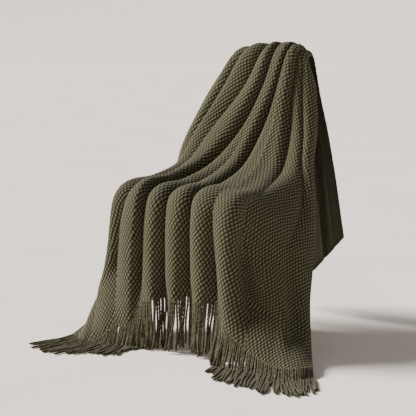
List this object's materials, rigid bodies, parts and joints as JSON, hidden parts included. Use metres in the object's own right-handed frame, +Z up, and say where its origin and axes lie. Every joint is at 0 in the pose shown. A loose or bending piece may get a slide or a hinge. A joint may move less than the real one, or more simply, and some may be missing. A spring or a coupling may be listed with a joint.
{
  "type": "waffle weave cotton blanket draped over a plain wooden chair",
  "caption": "Olive waffle-textured cotton blanket with a fringed front hem, draped in long folds over a plain wooden chair and spreading onto the floor.",
  "frame": {"origin": "on the floor under the middle of the overall box of the draped blanket and its fringe", "axes": "+Z up, the chair faces -Y with its seat edges along X and Y, +X towards the side where the blanket hangs to the floor"},
  "size_m": [1, 0.9174, 0.933],
  "materials": {
    "waffle_knit": "chunky olive cotton, matt",
    "fringe_yarn": "twisted olive cotton yarn, matt",
    "plain_wood": "satin pale wood"
  },
  "bodies": {
    "root": {"throw": "waffle_knit", "front_fringe": "fringe_yarn", "chair_seat": "plain_wood", "chair_back": "plain_wood", "chair_leg_front_left": "plain_wood", "chair_leg_front_right": "plain_wood", "chair_leg_rear_left": "plain_wood", "chair_leg_rear_right": "plain_wood"}
  },
  "joints": []
}
